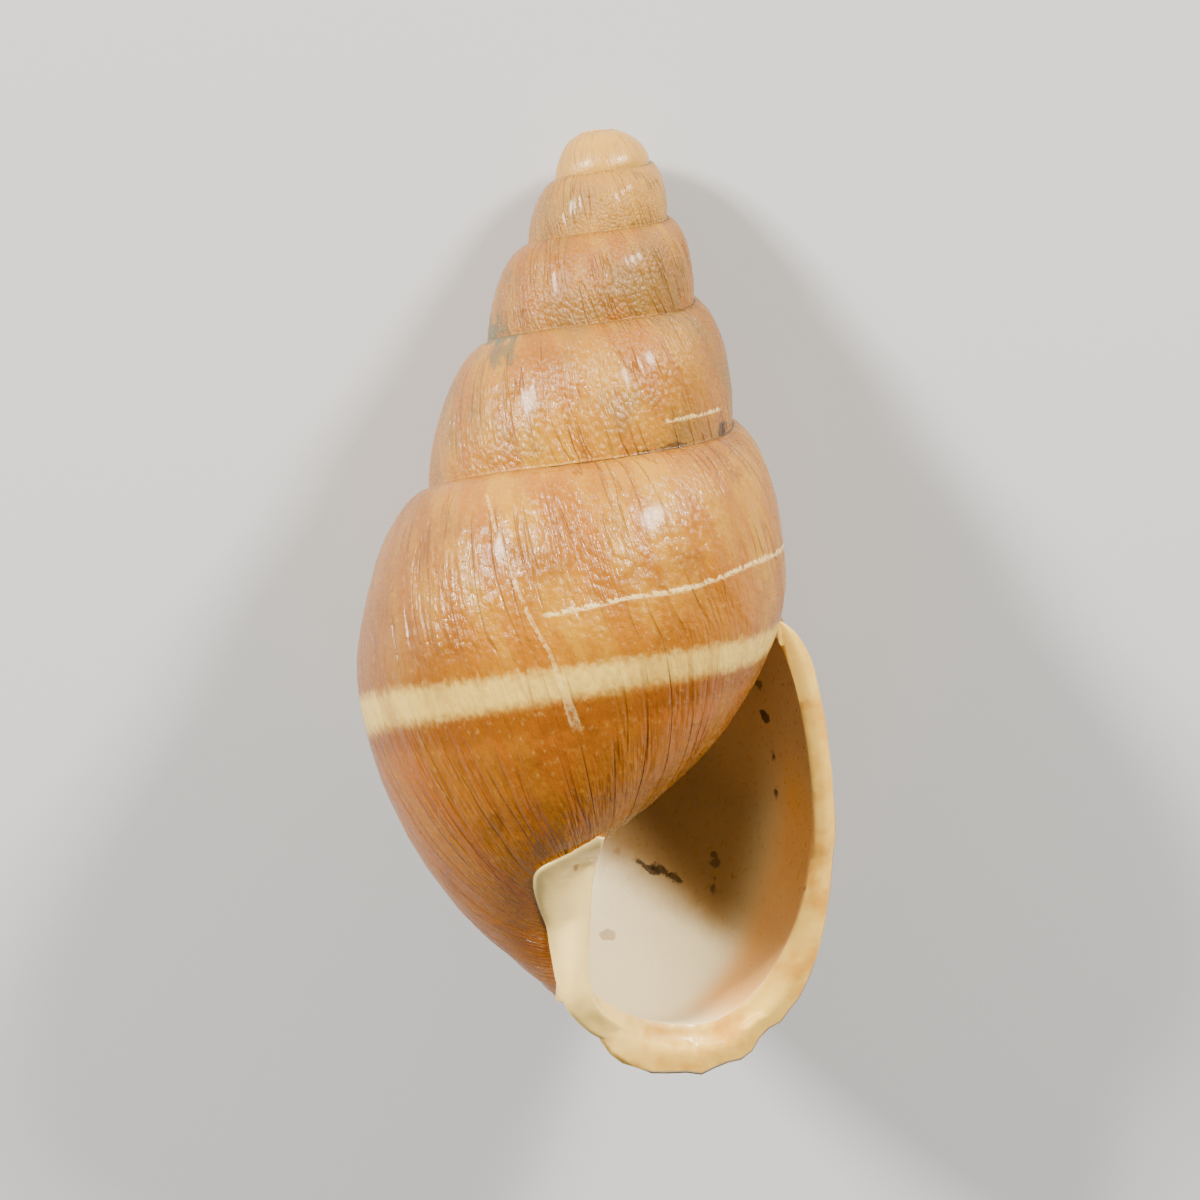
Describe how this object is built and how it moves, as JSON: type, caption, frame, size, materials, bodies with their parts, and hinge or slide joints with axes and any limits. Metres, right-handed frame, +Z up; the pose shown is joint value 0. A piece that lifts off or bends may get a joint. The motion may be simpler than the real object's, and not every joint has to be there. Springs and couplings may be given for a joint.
{
  "type": "land snail shell",
  "caption": "Tall right-coiled land snail shell with a swollen last whorl, flared pale lip, reflected columellar plate and open mouth.",
  "frame": {"origin": "middle of the bounding box's underside, where the shell lies on the back of its last whorl", "axes": "+Y towards the apex, +Z up out of the mouth, +X towards the outer lip"},
  "size_m": [0.0242, 0.0466, 0.0211],
  "materials": {
    "shell": "worn satin gloss, golden brown with a cream band, lip and columella"
  },
  "bodies": {
    "root": {"shell": "shell"}
  },
  "joints": []
}
